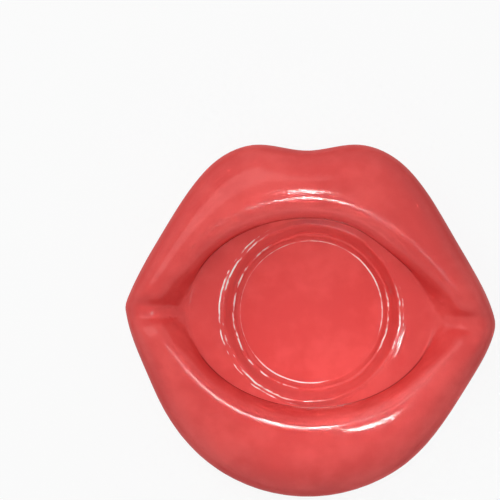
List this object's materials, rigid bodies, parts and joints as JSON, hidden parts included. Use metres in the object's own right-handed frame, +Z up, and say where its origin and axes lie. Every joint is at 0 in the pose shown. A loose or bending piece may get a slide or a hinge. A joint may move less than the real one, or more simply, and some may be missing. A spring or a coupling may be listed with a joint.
{
  "type": "lip-shaped ashtray",
  "caption": "Glazed ceramic ashtray shaped like a pair of full lips, with a round bowl in the open mouth and a cigarette rest at each mouth corner, on small rubber pads.",
  "frame": {"origin": "on the table, under the middle of the dish's outline", "axes": "+X to the right mouth corner as one looks down on the dish, +Y to the upper lip, +Z up"},
  "size_m": [0.1503, 0.1431, 0.038],
  "materials": {
    "red_glaze": "glossy coral-red glaze, slightly uneven, with a bare clay underside",
    "pad_rubber": "matt black rubber"
  },
  "bodies": {
    "root": {"dish_body": "red_glaze", "foot_pad_front_left": "pad_rubber", "foot_pad_front_right": "pad_rubber", "foot_pad_back_left": "pad_rubber", "foot_pad_back_right": "pad_rubber"}
  },
  "joints": []
}
